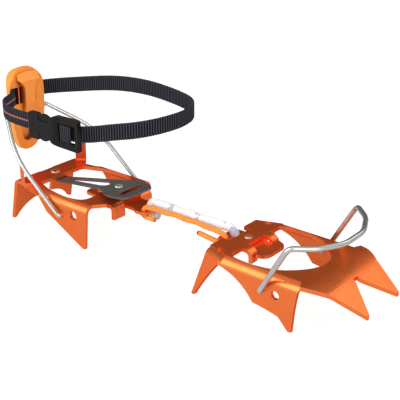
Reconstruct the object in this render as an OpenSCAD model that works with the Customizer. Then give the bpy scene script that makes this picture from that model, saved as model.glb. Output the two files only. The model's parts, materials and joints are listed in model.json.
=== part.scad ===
// Automatic crampon: two folded aluminium sections joined by a cord link,
// a wire toe bail, and a wire heel bail with a plastic lever and an ankle strap.
// Millimetres, X towards the toe, Y to the left, Z up, tooth tips on Z = 0.

/* [Sheet] */
// height of the plates above the tooth tips
stand_h = 37; // [34:0.5:41]
// thickness of the anodised sheet
sheet_t = 3; // [2.6:0.1:3.4]
// outer radius of the folds along the flanges
fold_r = 7; // [6:0.5:8.5]
// width of the blunt end of every tooth
tip_w = 2.4; // [1.6:0.2:3.2]
// distance between the heel plate and the front plate
section_gap = 100; // [94:1:112]

/* [Front plate] */
// width over the flanges of the front plate
front_w = 78; // [74:1:84]
// from the rear edge of the crossbar to the ends of the front points
front_l = 124; // [118:1:132]
// crossbar width, fore and aft
crossbar_l = 20; // [18:0.5:23]
// distance between the ends of the two front points
point_spread = 40; // [34:1:44]
// downward slope of the front points
point_slope = 28; // [20:1:34]
// radius of the curve from the plate into the front points
point_curve_r = 40; // [32:1:50]
// depth of the notch between the front points
point_notch = 21; // [17:0.5:24]
// distance between the two round holes of the crossbar
hole_spacing = 58; // [54:1:60]
// diameter of the two round holes of the crossbar
crossbar_hole_d = 6; // [4:0.5:7]
// diameter of the drain hole in each front flange
front_drain_d = 6.5; // [4:0.5:7.5]
// width of each finger that hooks the link bracket
finger_w = 7; // [6:0.5:9]

/* [Heel plate] */
// width over the flanges of the heel plate
heel_w = 76; // [72:1:82]
// length of the heel plate, rear edge to front fold
heel_l = 101; // [97:1:108]
// width of the rear bar, fore and aft
rear_bar_l = 19; // [16:0.5:22]
// diameter of the drain hole in each heel flange
heel_drain_d = 7.5; // [5:0.5:8.5]
// height of the upright heel stops above the plate
stop_h = 15; // [12:0.5:20]
// width of each upright heel stop
stop_w = 9; // [7:0.5:11]
// depth of the guide tabs below the plate top
guide_tab_h = 12; // [8.5:0.5:13]

/* [Toe bail] */
// wire diameter of the toe bail
toe_wire_d = 4; // [3.4:0.1:4.6]
// height of the bail corners above the pivots
toe_bail_h = 39; // [33:1:46]
// forward lean of the bail corners from the pivots
toe_bail_lean = 22; // [16:1:28]
// how far the front of the bail bows ahead of its corners
toe_bail_bow = 23; // [18:1:27]

/* [Heel bail] */
// wire diameter of the heel bail
heel_wire_d = 3.5; // [3:0.1:4]
// length of the bail from pivots to lever, seen from the side
heel_bail_l = 102; // [97:1:110]
// angle of the bail above the ground
heel_bail_angle = 39; // [36:0.5:42]

/* [Link] */
// width of the link bar and of the bracket neck
bar_w = 18; // [15:0.5:18.5]
// thickness of the link bar and bracket
bar_t = 2.5; // [2:0.1:3]
// distance between the length holes of the bar
hole_pitch = 7; // [6.5:0.5:8]
// diameter of the white cord strand
white_cord_d = 7; // [5.6:0.2:7.4]
// diameter of the orange cord strand
orange_cord_d = 4.2; // [3.4:0.2:4.6]
// place of the white strand to the left of the middle
white_y = 3; // [2.5:0.25:4]
// place of the orange strand to the right of the middle
orange_y = 6.5; // [6:0.25:7.5]
// length of the loose tail of the orange strand
cord_tail_l = 22; // [14:1:28]

/* [Lock plate] */
// thickness of the spring steel lock plate
lock_t = 1.6; // [1.4:0.1:2.2]
// width of the lock plate head
lock_head_w = 38; // [34:1:42]
// diameter of the stud that enters the bar
stud_d = 5; // [4.4:0.1:5.4]
// diameter of the stop rivet shank in the crossbar
stop_rivet_d = 4; // [3:0.2:5]

/* [Lever] */
// height of the heel lever
lever_h = 72; // [68:1:80]
// width of the heel lever across its shoulders
lever_w = 37; // [35:1:42]
// thickness of the lever body
lever_t = 10; // [9:0.5:12]

/* [Strap] */
// width of the webbing
webbing_w = 13.5; // [12:0.5:16]
// thickness of the webbing
webbing_t = 1.8; // [1.4:0.1:2]
// width over the strap loop
loop_w = 104; // [98:1:112]
// length of the strap loop ahead of the lever
loop_l = 161; // [154:1:168]
// height of the buckle frames
buckle_h = 25; // [23:0.5:27]
// thickness of the buckle
buckle_t = 7; // [6.4:0.2:8]

/* [Hidden] */
$fn = 40;

anodised = "#ee7424";
spring_steel = "#5d686b";
bright_steel = "#cfd2d2";
lever_orange = "#fb9848";
cord_white = "#e8e8ee";
cord_orange = "#f08a1c";
tip_brown = "#8c2f10";
thread_grey = "#b9b9bd";
webbing_black = "#2d2d32";
buckle_black = "#232122";

// clearances: running fit of a pin, gap of sliding faces, gap of cords and webbing
pin_fit = 0.05;
slide_gap = 0.3;
soft_gap = 0.4;
overlap = 0.5;

// heel plate places, measured from its front fold
under_z = stand_h - sheet_t;
heel_half = heel_w / 2;
heel_pivot = [-43.6, stand_h - 14.7];
heel_small_hole = [-54, stand_h - 14.2];
spare_hole_d = heel_wire_d + 0.7;
heel_drain = [-30, stand_h - 11];
heel_flange = [-heel_l + 31, -15];
rail_turn = 13.3;
rail_end = 27;
rail_lip = 5.6;
rear_edge = -heel_l + 1;
rear_tooth_r = 5;
rear_tooth_bend = 78;
rear_tooth_in = 7.5;
rear_tooth_out = heel_half - 5;
rear_tooth_low = 13.5;
rear_step = 0.2;
tooth_step = 0.3;
stop_turn = 128;
stop_flat = 5;
stop_r = 5;
stop_at = [-heel_l + 6.5, heel_half - 3.5];
bridge_rear = -27;
guide_r = 5;
guide_flat = 2;
guide_edge = 0.25;
guide_in = bar_w / 2 + slide_gap;
guide_out = guide_in + 13;
rivet_d = 5;
rivet_x = -heel_l + 10.5;
dimple_d = 2.4;
dimple_y = 21;

// frame: the part is centred between the front points and the back of the lever
pin_depth = 3.6;
heel_reach = heel_bail_l * cos(heel_bail_angle) - heel_pivot.x + lever_t - pin_depth;
total_l = front_l + section_gap + heel_reach;
front_x = total_l / 2 - front_l;
heel_x = front_x - section_gap;

// front plate places, measured from the rear edge of the crossbar
front_half = front_w / 2;
front_arch = stand_h - 6;
tooth_hinge = 17;
front_tooth_turn = 20;
front_tooth_bend = 75;
front_tooth_r = 5;
front_tooth_strip = front_tooth_r + 8;
front_tooth_top = tooth_hinge / cos(front_tooth_turn);
front_tooth_tip = front_tooth_top + 6;
flange_end = front_l - 41;
opening_end = front_l - 45;
point_root = front_l - 38;
toe_pivot = [54, stand_h - 12];
front_drain = [64, stand_h - 13.4];
stop_x = crossbar_l - 6.5;
link_notch = 6;
finger_in = bar_w / 2 + 1;
finger_drop = 10;
finger_r = 6;
finger_end = crossbar_l + 9;
leg_out = 2.4;
pin_out = 3;
wire_skin = 0.02;

// link: bar below the heel plate, bracket below the crossbar, cords round their webs
bar_top = under_z - slide_gap;
bar_z = bar_top - bar_t / 2;
bar_rear = -46;
bar_front = 23;
bracket_rear = -8;
bracket_head = finger_end + slide_gap;
bracket_head_l = 9;
web_l = 3;
web_play = 0.6;
cord_in = web_l / 2 + web_play;
flare_l = 13;
flare_w = 23;
rear_web_x = heel_x + bar_front - web_l / 2;
front_web_x = front_x + bracket_rear + web_l / 2;
hook_tail = 7;
white_tail = 2;
tail_rise = 2;
tip_l = 1.6;
tip_taper = 1.2;

// lock plate: rear end under the rear bar, head lifted clear above the bridge
stud_x = -15.5;
stud_play = 0.8;
hole_play = 0.6;
lock_gap = 0.6;
lock_mid = under_z - lock_gap - lock_t / 2;
lock_rear = rivet_x - 5.5;
lock_bend = -heel_l + 21.5;
lock_front = 7.7;
lock_head_z = stand_h + 5.9;
lock_rise = 1.6;
lock_slot_x = -3.5;
lock_slot_w = 7;
lock_slot_half = lock_head_w / 2 - 6.5;
lock_slot_r = 1.5;
lock_neck_half = 5.5;
lock_arm_half = 11;

// heel bail and lever
lever_pin = [heel_x + heel_pivot.x - heel_bail_l * cos(heel_bail_angle),
  heel_pivot.y + heel_bail_l * sin(heel_bail_angle)];
lever_face = lever_pin.x + pin_depth;
lever_back = lever_face - lever_t;
lever_half = lever_w / 2;
lever_rim = 3.5;
lever_barrel_d = 7.8;
leg_bend = 0.6;
heel_leg_out = 0.8;
bail_play = 12;
rib_half = 5.4;
rib_out = 5;
rib_foot = lever_pin.y - 8;
thumb_half = 10.5;
rib_edge = 0.2;
lever_foot = lever_pin.y - 36;
lever_top = lever_foot + lever_h;
pocket_foot = lever_foot + 8;
pocket_top = lever_pin.y - 8;
pocket_half = 8.5;
strap_z = lever_pin.y + 14;
pass_x = lever_back + 5.5;

// strap loop and buckle
slot_h = webbing_w + 2 * soft_gap;
slot_in_y = 8.5 - lever_half;
slot_out_y = 2.5 - lever_half;
loop_half = loop_w / 2 - webbing_t / 2;
loop_front = lever_face + loop_l;
loop_swell = 0.25;
buckle_half = buckle_h / 2;
buckle_y = -loop_w / 2 + buckle_t / 2;
buckle_z = strap_z - 0.5;
buckle_front = lever_face + 114;
female_l = 41;
male_l = 12;
female_rear = buckle_front - female_l;
male_rear = female_rear - male_l;
block_half = 5.2;
prong_l = 11;
prong_inset = 0.4;
front_bar = 3.5;
ladder_bar_t = 2.4;
ladder_bar_x = buckle_front - 17;
fold_r_mid = ladder_bar_t / 2 + soft_gap + webbing_t / 2;
fold_out = fold_r_mid + webbing_t / 2 + soft_gap;
frame_out = 2.4;
frame_in = fold_r_mid - webbing_t / 2 - soft_gap;
window_rear = ladder_bar_x - fold_out;
strap_in_y = buckle_y + fold_r_mid;
male_base_t = buckle_t / 2 + 0.2;
male_face = buckle_y - buckle_t / 2;
stub_gap = 0.8;
stub_in = male_base_t - buckle_t / 2 + stub_gap + webbing_t / 2;
stub_end = 6;
stitch_gap = 0.1;
stitch_t = 0.4;
stitch_w = 2.4;
stitch_back = 4;

// point, curve and sweep helpers
function unit(v) = v / norm(v);
function bezier(a, b, c, n) =
  [for (i = [0:n]) let (t = i / n) (1 - t) * (1 - t) * a + 2 * t * (1 - t) * b + t * t * c];
function arc(c, r, from, to, n) =
  [for (i = [0:n]) let (a = from + (to - from) * i / n) c + r * [cos(a), sin(a)]];
function across(p) = [p.x, -p.y, p.z];
function mirrored(pts) = [for (i = [len(pts) - 1:-1:0]) [pts[i].x, -pts[i].y]];
function corner(a, b, c, cut, n) =
  bezier(b + cut * unit(a - b), b, b + cut * unit(c - b), n);
function rounded(p, cuts, n) = [
  p[0],
  for (i = [1:len(p) - 2]) each corner(p[i - 1], p[i], p[i + 1], cuts[i - 1], n),
  p[len(p) - 1]
];
function flow(p, n) = [
  for (i = [0:len(p) - 2])
    let (
      a = p[max(i - 1, 0)],
      b = p[i],
      c = p[i + 1],
      d = p[min(i + 2, len(p) - 1)]
    )
    for (k = [0:n - 1])
      let (t = k / n)
      0.5 * (2 * b + t * (c - a) + t * t * (2 * a - 5 * b + 4 * c - d)
        + t * t * t * (3 * b - a - 3 * c + d)),
  p[len(p) - 1]
];
function tangent(p, i) =
  unit(p[min(i + 1, len(p) - 1)] - p[max(i - 1, 0)]);
function ring(c, side, up, r, sides) =
  [for (k = [0:sides - 1]) let (a = 360 * k / sides) c + r * (cos(a) * side + sin(a) * up)];
function tube_rings(p, radii, ref, sides) = [
  for (i = [0:len(p) - 1])
    let (t = tangent(p, i), side = unit(cross(t, ref)), up = cross(side, t))
    ring(p[i], side, up, radii[i], sides)
];
function band_rings(p, h, t) = [
  for (i = [0:len(p) - 1])
    let (g = tangent(p, i), side = unit([-g.y, g.x, 0]) * t / 2, up = [0, 0, h / 2])
    [p[i] + side - up, p[i] - side - up, p[i] - side + up, p[i] + side + up]
];

// closed skin through equal rings of points
module skin(rings) {
  m = len(rings[0]);
  last = len(rings) - 1;
  walls = [
    for (i = [0:last - 1])
      for (k = [0:m - 1])
        let (a = i * m + k, b = i * m + (k + 1) % m)
        each [[a, b, b + m], [a, b + m, a + m]]
  ];
  first_cap = [for (k = [1:m - 2]) [0, k + 1, k]];
  last_cap = [for (k = [1:m - 2]) [last * m, last * m + k, last * m + k + 1]];
  polyhedron([for (r = rings) each r], concat(walls, first_cap, last_cap));
}
module wire(p, d, ref, sides = 14) {
  skin(tube_rings(p, [for (q = p) d / 2], ref, sides));
}
module band(p, h, t) {
  skin(band_rings(p, h, t));
}
module both_sides() {
  children();
  mirror([0, 1, 0]) children();
}
// outline in X and Z, carried right across the part
module side_prism(points, w = 140) {
  rotate([90, 0, 0]) linear_extrude(w, center = true) polygon(points);
}
// outline in X and Z between two Y values
module side_slab(points, y_from, y_to) {
  translate([0, y_to, 0]) rotate([90, 0, 0]) linear_extrude(y_to - y_from) polygon(points);
}
module plan_prism(points, z_from, z_to) {
  translate([0, 0, z_from]) linear_extrude(z_to - z_from) polygon(points);
}
module y_pin(x, z, d, y_from, y_to) {
  translate([x, y_to, z]) rotate([90, 0, 0]) cylinder(d = d, h = y_to - y_from);
}

// folded edge: top strip, bend and flange, outer corner on the line Y = 0, Z = 0
module fold_section(strip, depth) {
  translate([-strip, -sheet_t]) square([strip - fold_r, sheet_t]);
  translate([-sheet_t, -depth]) square([sheet_t, depth - fold_r]);
  translate([-fold_r, -fold_r]) intersection() {
    difference() {
      circle(fold_r);
      circle(fold_r - sheet_t);
    }
    square(fold_r);
  }
}
module folded_edge(x_from, x_to, strip) {
  translate([x_from, 0, 0])
    rotate([90, 0, 90]) linear_extrude(x_to - x_from) fold_section(strip, stand_h);
}
// splayed edge: top strip, a bend short of a quarter turn, and a leg that leans outwards
function splayed_section(strip, depth, r, bend) =
  let (c = [-r, -r], leg = depth * [cos(bend), -sin(bend)])
  concat(
    [[-strip, 0]],
    arc(c, r, 90, 90 - bend, 8),
    [c + r * [sin(bend), cos(bend)] + leg, c + (r - sheet_t) * [sin(bend), cos(bend)] + leg],
    arc(c, r - sheet_t, 90 - bend, 90, 8),
    [[-strip, -sheet_t]]
  );
// sheet strip that runs flat, bends by a quarter turn and runs straight on
module bent_tab(flat, drop, r, w) {
  side_slab(concat(
    [[0, 0], [flat, 0]],
    arc([flat, -r], r, 90, 0, 8),
    [[flat + r, -drop], [flat + r - sheet_t, -drop]],
    arc([flat, -r], r - sheet_t, 0, 90, 8),
    [[0, -sheet_t]]
  ), -w / 2, w / 2);
}

// front plate
front_side = concat(
  [[tooth_hinge - 1, stand_h + 1], [flange_end + 1, stand_h + 1]],
  bezier([flange_end, stand_h], [flange_end - 4, stand_h - 12], [flange_end - 5.5, 0], 8),
  [[flange_end - 5.5 - tip_w, 0]],
  bezier([flange_end - 16, 8.5], [flange_end - 27, 11], [flange_end - 37, 12], 5),
  bezier([flange_end - 38, 13], [flange_end - 48, front_arch - 4], [tooth_hinge - 1, front_arch], 8)
);
front_tooth_side = concat(
  [[overlap, stand_h + 1], [-front_tooth_top, stand_h + 1], [-front_tooth_top, stand_h],
    [-front_tooth_tip, 0]],
  bezier([tip_w - front_tooth_tip, 0], [-13, 18], [-3, front_arch - 1], 8),
  [[overlap, front_arch]]
);
module front_rear_tooth() {
  translate([tooth_hinge, front_half - tooth_step, 0]) rotate([0, 0, front_tooth_turn]) intersection() {
    translate([-front_tooth_tip - 1, 0, stand_h - tooth_step]) rotate([90, 0, 90])
      linear_extrude(front_tooth_tip + 1 + overlap)
        polygon(splayed_section(front_tooth_strip, stand_h, front_tooth_r, front_tooth_bend));
    side_prism(front_tooth_side);
  }
}
crossbar_side = [[0, 0], [0, front_half - front_tooth_r - tooth_hinge * tan(front_tooth_turn)],
  [tooth_hinge, front_half - fold_r], [crossbar_l + 2, front_half - fold_r], [crossbar_l + 2, 0]];
rail_y = front_half - fold_r;
opening_side = concat(
  [[crossbar_l, 0], [crossbar_l, rail_y - 3]],
  bezier([crossbar_l + 4, rail_y], [opening_end - 30, rail_y + 3.5], [opening_end - 16, rail_y - 6], 8),
  bezier([opening_end - 11, rail_y - 10.5], [opening_end, rail_y - 21], [opening_end, 0], 8)
);
point_y = point_spread / 2;
notch_end = front_l - point_notch;
point_side = concat(
  [[opening_end - 12, 0], [opening_end - 12, rail_y], [flange_end - 3, rail_y]],
  bezier([flange_end, front_half], [flange_end + 9, front_half - 0.5],
    [flange_end + 18, front_half - 8], 6),
  [[front_l, point_y + tip_w / 2], [front_l, point_y - tip_w / 2],
    [notch_end + 1, 3], [notch_end - 1.5, 2.6], [notch_end - 1.5, 0]]
);
point_down = [cos(point_slope), -sin(point_slope)];
point_normal = [sin(point_slope), cos(point_slope)];
curve_c = [point_root, stand_h - point_curve_r];
curve_end = curve_c + point_curve_r * point_normal;
point_end = curve_end + (front_l - curve_end.x + 2) / cos(point_slope) * point_down;
point_bed = concat(
  [[opening_end - 12, stand_h]],
  arc(curve_c, point_curve_r, 90, 90 - point_slope, 8),
  [point_end, point_end - sheet_t * point_normal],
  arc(curve_c, point_curve_r - sheet_t, 90 - point_slope, 90, 8),
  [[opening_end - 12, under_z]]
);
module front_sheet() {
  intersection() {
    both_sides() translate([0, front_half, stand_h]) folded_edge(tooth_hinge - 1, flange_end, front_half);
    side_prism(front_side);
  }
  plan_prism(concat(crossbar_side, mirrored(crossbar_side)), under_z, stand_h);
  both_sides() front_rear_tooth();
  intersection() {
    side_prism(point_bed);
    plan_prism(concat(point_side, mirrored(point_side)), 0, stand_h + 1);
  }
}
module front_plate() color(anodised) translate([front_x, 0, 0]) {
  difference() {
    front_sheet();
    plan_prism(concat(opening_side, mirrored(opening_side)), -1, stand_h + 1);
    translate([-1, -flare_w / 2 - 1, under_z - 1]) cube([link_notch + 1, flare_w + 2, sheet_t + 2]);
    for (s = [-1, 1]) translate([crossbar_l / 2, s * hole_spacing / 2, under_z - front_tooth_r])
      cylinder(d = crossbar_hole_d, h = sheet_t + front_tooth_r + 1);
    y_pin(toe_pivot.x, toe_pivot.y, toe_wire_d + 2 * pin_fit, -front_half - 1, front_half + 1);
    y_pin(front_drain.x, front_drain.y, front_drain_d, -front_half - 1, front_half + 1);
    translate([stop_x, 0, under_z - 1]) cylinder(d = stop_rivet_d, h = sheet_t + 2);
  }
  both_sides() translate([crossbar_l - overlap, finger_in + finger_w / 2, stand_h])
    bent_tab(finger_end - finger_r - crossbar_l + overlap, finger_drop, finger_r, finger_w);
}

// heel plate
heel_flat_side = concat(
  [[rear_edge, 0], [rear_edge, rear_tooth_out - 3], [-heel_l + 6, heel_half - 11],
    [heel_flange.x, heel_half - fold_r], [heel_flange.y, heel_half - fold_r]],
  bezier([heel_flange.y, heel_half - fold_r], [heel_flange.y + 4, heel_half - 12], [-8, guide_out], 5),
  [[-guide_r, guide_out], [-guide_r, 0]]
);
heel_opening_side = concat(
  [[-heel_l + rear_bar_l, 0]],
  bezier([-heel_l + rear_bar_l, heel_half - 16], [-heel_l + rear_bar_l, heel_half - 13],
    [-heel_l + rear_bar_l + 4, heel_half - 12.5], 3),
  bezier([heel_flange.x + 3, heel_half - 8.5], [-36, heel_half - 2.5],
    [bridge_rear - 1.5, heel_half - 10], 8),
  bezier([bridge_rear, heel_half - 13], [bridge_rear + 1, heel_half - 20],
    [bridge_rear, heel_half - 22], 4),
  [[bridge_rear, 0]]
);
heel_side = concat(
  [[heel_flange.x, stand_h + 1], [heel_flange.y, stand_h + 1], [heel_flange.y - 3.5, 0],
    [heel_flange.y - 3.5 - tip_w, 0]],
  bezier([heel_flange.x + 9, stand_h - 16], [heel_flange.x + 4, stand_h - 10],
    [heel_flange.x, stand_h - 5], 5)
);
rail_side = [[overlap, stand_h + 1], [-rail_end, stand_h + 1], [-rail_end, stand_h - rail_lip],
  [overlap, stand_h - rail_lip]];
module heel_flange() {
  intersection() {
    translate([0, heel_half, stand_h]) folded_edge(heel_flange.x, heel_flange.y, fold_r + 4);
    side_prism(heel_side);
  }
  translate([heel_flange.x, heel_half - tooth_step, 0]) rotate([0, 0, rail_turn]) intersection() {
    translate([0, 0, stand_h - tooth_step]) folded_edge(-rail_end - 1, overlap, fold_r + 6);
    side_prism(rail_side);
  }
}
rear_tooth_face = concat(
  [[rear_tooth_in, stand_h + 1], [rear_tooth_out, stand_h + 1], [rear_tooth_out, 0]],
  bezier([rear_tooth_out - tip_w, 0], [rear_tooth_out - 11, 12], [rear_tooth_in, rear_tooth_low], 6)
);
module heel_rear_tooth() {
  intersection() {
    translate([rear_edge - rear_tooth_r, 0, stand_h - rear_step]) mirror([1, 0, 0])
      side_slab(splayed_section(rear_tooth_r + 5, stand_h, rear_tooth_r, rear_tooth_bend), 0, heel_half);
    translate([-heel_l - 30, 0, 0]) rotate([90, 0, 90]) linear_extrude(50) polygon(rear_tooth_face);
  }
}
module heel_stop() {
  translate([stop_at.x, stop_at.y, under_z]) rotate([0, 0, stop_turn])
    translate([-stop_flat - stop_r, 0, 0]) mirror([0, 0, 1])
      bent_tab(stop_flat, stop_h + sheet_t, stop_r, stop_w);
}
module heel_plate() color(anodised) translate([heel_x, 0, 0]) {
  difference() {
    union() {
      plan_prism(concat(heel_flat_side, mirrored(heel_flat_side)), under_z, stand_h);
      both_sides() {
        heel_flange();
        heel_rear_tooth();
      }
    }
    plan_prism(concat(heel_opening_side, mirrored(heel_opening_side)), under_z - 1, stand_h + 1);
    translate([-guide_r - 1, -guide_in, under_z - 1]) cube([guide_r + 2, 2 * guide_in, sheet_t + 2]);
    translate([stud_x, 0, under_z - 1]) cylinder(d = stud_d + 2 * stud_play, h = sheet_t + 2);
    translate([rivet_x, 0, under_z - 1]) cylinder(d = rivet_d, h = sheet_t + 2);
    y_pin(heel_pivot.x, heel_pivot.y, heel_wire_d + 2 * pin_fit, -heel_half - 1, heel_half + 1);
    y_pin(heel_small_hole.x, heel_small_hole.y, spare_hole_d, -heel_half - 1, heel_half + 1);
    y_pin(heel_drain.x, heel_drain.y, heel_drain_d, -heel_half - 1, heel_half + 1);
    for (s = [-1, 1]) translate([rivet_x - 4, s * dimple_y, stand_h - 1]) cylinder(d = dimple_d, h = 2);
  }
  both_sides() {
    heel_stop();
    translate([-guide_r - guide_flat, (guide_in + guide_out) / 2, stand_h])
      bent_tab(guide_flat, guide_tab_h, guide_r, guide_out - guide_in - 2 * guide_edge);
  }
}

// lock plate, its stud and its rear rivet
lock_line = [[lock_rear, lock_mid], [lock_bend, lock_mid], [bridge_rear, lock_head_z - lock_rise],
  [lock_front, lock_head_z]];
lock_profile = concat(
  [for (p = lock_line) p + [0, lock_t / 2]],
  [for (i = [3:-1:0]) lock_line[i] - [0, lock_t / 2]]
);
lock_half = lock_head_w / 2;
lock_plan_side = concat(
  [[lock_rear, 0], [lock_rear, lock_neck_half - 1.5], [lock_rear + 2, lock_neck_half],
    [lock_bend, lock_neck_half]],
  bezier([bridge_rear - 3, lock_arm_half], [bridge_rear + 7, lock_arm_half + 1.5],
    [bridge_rear + 12, lock_half - 1], 4),
  bezier([bridge_rear + 17, lock_half], [lock_front - 8, lock_half], [lock_front - 3, lock_half - 3], 4),
  [[lock_front, lock_half - 6], [lock_front, 0]]
);
lock_window_side = concat(
  [[lock_bend + 9, 0], [lock_bend + 9, 1.6], [bridge_rear - 4, lock_arm_half - 5.6]],
  bezier([bridge_rear - 4, lock_arm_half - 5.6], [bridge_rear + 1.5, lock_arm_half - 5],
    [bridge_rear + 2, 0], 4)
);
slot_rear = lock_slot_x - lock_slot_w / 2;
slot_front = lock_slot_x + lock_slot_w / 2;
lock_slot_side = concat(
  [[slot_rear, 0]],
  corner([slot_rear, 0], [slot_rear, lock_slot_half], [slot_front, lock_slot_half], lock_slot_r, 3),
  corner([slot_rear, lock_slot_half], [slot_front, lock_slot_half], [slot_front, 0], lock_slot_r, 3),
  [[slot_front, 0]]
);
module lock_plate() color(spring_steel) translate([heel_x, 0, 0]) difference() {
  intersection() {
    side_prism(lock_profile);
    plan_prism(concat(lock_plan_side, mirrored(lock_plan_side)), 0, lock_head_z + 5);
  }
  plan_prism(concat(lock_window_side, mirrored(lock_window_side)), 0, lock_head_z + 5);
  plan_prism(concat(lock_slot_side, mirrored(lock_slot_side)), 0, lock_head_z + 5);
  translate([stud_x, 0, 0]) cylinder(d = stud_d, h = lock_head_z + 5);
  translate([rivet_x, 0, 0]) cylinder(d = rivet_d + 2 * slide_gap, h = lock_head_z);
}
stud_seat = lock_head_z - lock_rise * (lock_front - stud_x) / (lock_front - bridge_rear) + lock_t / 2;
module lock_stud() color(bright_steel) translate([heel_x + stud_x, 0, 0]) {
  translate([0, 0, bar_top + soft_gap]) cylinder(d = stud_d, h = stud_seat - bar_top);
  translate([0, 0, stud_seat + 0.2]) cylinder(d1 = stud_d + 2.4, d2 = stud_d + 1.2, h = 0.9);
}
rivet_foot = lock_mid - lock_t / 2 - lock_gap - 1;
module lock_rivet() color(bright_steel) translate([heel_x + rivet_x, 0, 0]) difference() {
  union() {
    translate([0, 0, rivet_foot]) cylinder(d = rivet_d, h = stand_h + 1 - rivet_foot);
    translate([0, 0, stand_h]) cylinder(d1 = rivet_d + 3.5, d2 = rivet_d + 2, h = 1);
    translate([0, 0, rivet_foot]) cylinder(d = rivet_d + 3.5, h = 1);
  }
  translate([0, 0, 1]) cylinder(d = rivet_d - 2, h = stand_h + 5);
}

// link bar, bracket and cords
bar_half = bar_w / 2;
flare_half = flare_w / 2;
cords = [[white_y, white_cord_d], [-orange_y, orange_cord_d]];
module eyelets(web_x, dir) {
  for (c = cords) translate([web_x + dir * (cord_in + c[1] / 2), c[0], bar_top - bar_t - 1])
    cylinder(d = c[1] + 2 * web_play, h = bar_t + 2);
}
bar_plan_side = concat(
  [[bar_rear, 0], [bar_rear, bar_half - 5]],
  corner([bar_rear, 0], [bar_rear, bar_half], [0, bar_half], 5, 4),
  [[bar_front - flare_l - 3, bar_half]],
  corner([bar_front - flare_l, bar_half], [bar_front - flare_l + 2, flare_half],
    [bar_front, flare_half], 2, 3),
  corner([0, flare_half], [bar_front, flare_half], [bar_front, 0], 5, 4),
  [[bar_front, 0]]
);
module link_bar() color(anodised) translate([heel_x, 0, 0]) difference() {
  plan_prism(concat(bar_plan_side, mirrored(bar_plan_side)), bar_top - bar_t, bar_top);
  for (k = [0:3]) translate([stud_x - k * hole_pitch, 0, bar_top - bar_t - 1])
    cylinder(d = stud_d + 2 * hole_play, h = bar_t + 2);
  eyelets(rear_web_x - heel_x, -1);
}
bracket_plan_side = concat(
  corner([bracket_rear, 0], [bracket_rear, flare_half], [0, flare_half], 5, 4),
  corner([0, flare_half], [5, flare_half], [7, bar_half], 2, 3),
  [[8, bar_half], [bracket_head, bar_half]],
  corner([bracket_head, finger_in], [bracket_head, finger_in + finger_w - 1.5],
    [bracket_head + bracket_head_l, finger_in + finger_w - 6], 3, 4),
  corner([bracket_head, finger_in + finger_w - 1.5],
    [bracket_head + bracket_head_l, finger_in + finger_w - 6],
    [bracket_head + bracket_head_l, 0], 4, 4)
);
module link_bracket() color(anodised) translate([front_x, 0, 0]) difference() {
  plan_prism(concat(bracket_plan_side, mirrored(bracket_plan_side)), bar_top - bar_t, bar_top);
  eyelets(front_web_x - front_x, 1);
  translate([stop_x, 0, bar_top - bar_t - 1]) cylinder(d = stop_rivet_d + 2 * pin_fit, h = bar_t + 2);
}
module stop_rivet() color(bright_steel) translate([front_x + stop_x, 0, 0]) {
  translate([0, 0, bar_top - bar_t]) cylinder(d = stop_rivet_d, h = stand_h - bar_top + bar_t);
  translate([0, 0, stand_h]) cylinder(d1 = stop_rivet_d + 2.4, d2 = stop_rivet_d + 1.2, h = 0.8);
  translate([0, 0, bar_top - bar_t - 1]) cylinder(d = stop_rivet_d + 3, h = 1);
}
// half turn of a cord round a web, from above to below or back
function turn(web_x, dir, y, d, from, to) = let (r = cord_in + d / 2)
  [for (i = [0:8]) let (a = from + (to - from) * i / 8) [web_x + dir * r * sin(a), y, bar_z + r * cos(a)]];
function run(a, b, n) = [for (i = [1:n - 1]) a + (b - a) * i / n];
function strand(y, d, rear_tail, front_tail, rise) =
  let (
    r = cord_in + d / 2,
    rear_end = [rear_web_x + rear_tail, y, bar_z - r],
    front_end = [front_web_x - front_tail, y, bar_z - r + rise],
    front_low = [front_web_x, y, bar_z - r]
  )
  concat(
    [rear_end],
    turn(rear_web_x, -1, y, d, 180, 0),
    run([rear_web_x, y, bar_z + r], [front_web_x, y, bar_z + r], 5),
    turn(front_web_x, 1, y, d, 0, 180),
    run(front_low, front_end, 3),
    [front_end]
  );
module white_strand() color(cord_white)
  wire(strand(white_y, white_cord_d, white_tail, white_tail, 0), white_cord_d, [0, 1, 0], 12);
orange_path = strand(-orange_y, orange_cord_d, hook_tail, cord_tail_l - tip_l, tail_rise);
module orange_strand() color(cord_orange) wire(orange_path, orange_cord_d, [0, 1, 0], 12);
orange_end = orange_path[len(orange_path) - 1];
tip_end = orange_end + tip_l * tangent(orange_path, len(orange_path) - 1);
module cord_tip() color(tip_brown)
  skin(tube_rings([orange_end, tip_end], [orange_cord_d, orange_cord_d - tip_taper] / 2, [0, 1, 0], 12));

// toe bail
toe_leg_y = front_half + leg_out + toe_wire_d / 2;
toe_top = toe_pivot + [toe_bail_lean, toe_bail_h];
toe_half_points = [
  [toe_pivot.x, front_half - sheet_t - overlap, toe_pivot.y],
  [toe_pivot.x, toe_leg_y, toe_pivot.y],
  [toe_top.x, toe_leg_y, toe_top.y],
  [toe_top.x + 0.6 * toe_bail_bow, toe_leg_y - 12, toe_top.y - 1],
  [toe_top.x + toe_bail_bow, 12, toe_top.y - 1.5]
];
toe_path = rounded(
  concat(toe_half_points, [for (i = [4:-1:0]) across(toe_half_points[i])]),
  [3, 5, 6, 6, 6, 6, 5, 3], 5);
module toe_bail() color(bright_steel) translate([front_x, 0, 0]) {
  wire(toe_path, toe_wire_d - wire_skin, [toe_bail_h, 0.2, -toe_bail_lean]);
  both_sides()
    y_pin(toe_pivot.x, toe_pivot.y, toe_wire_d, front_half - sheet_t - pin_out, front_half + overlap);
}

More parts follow.
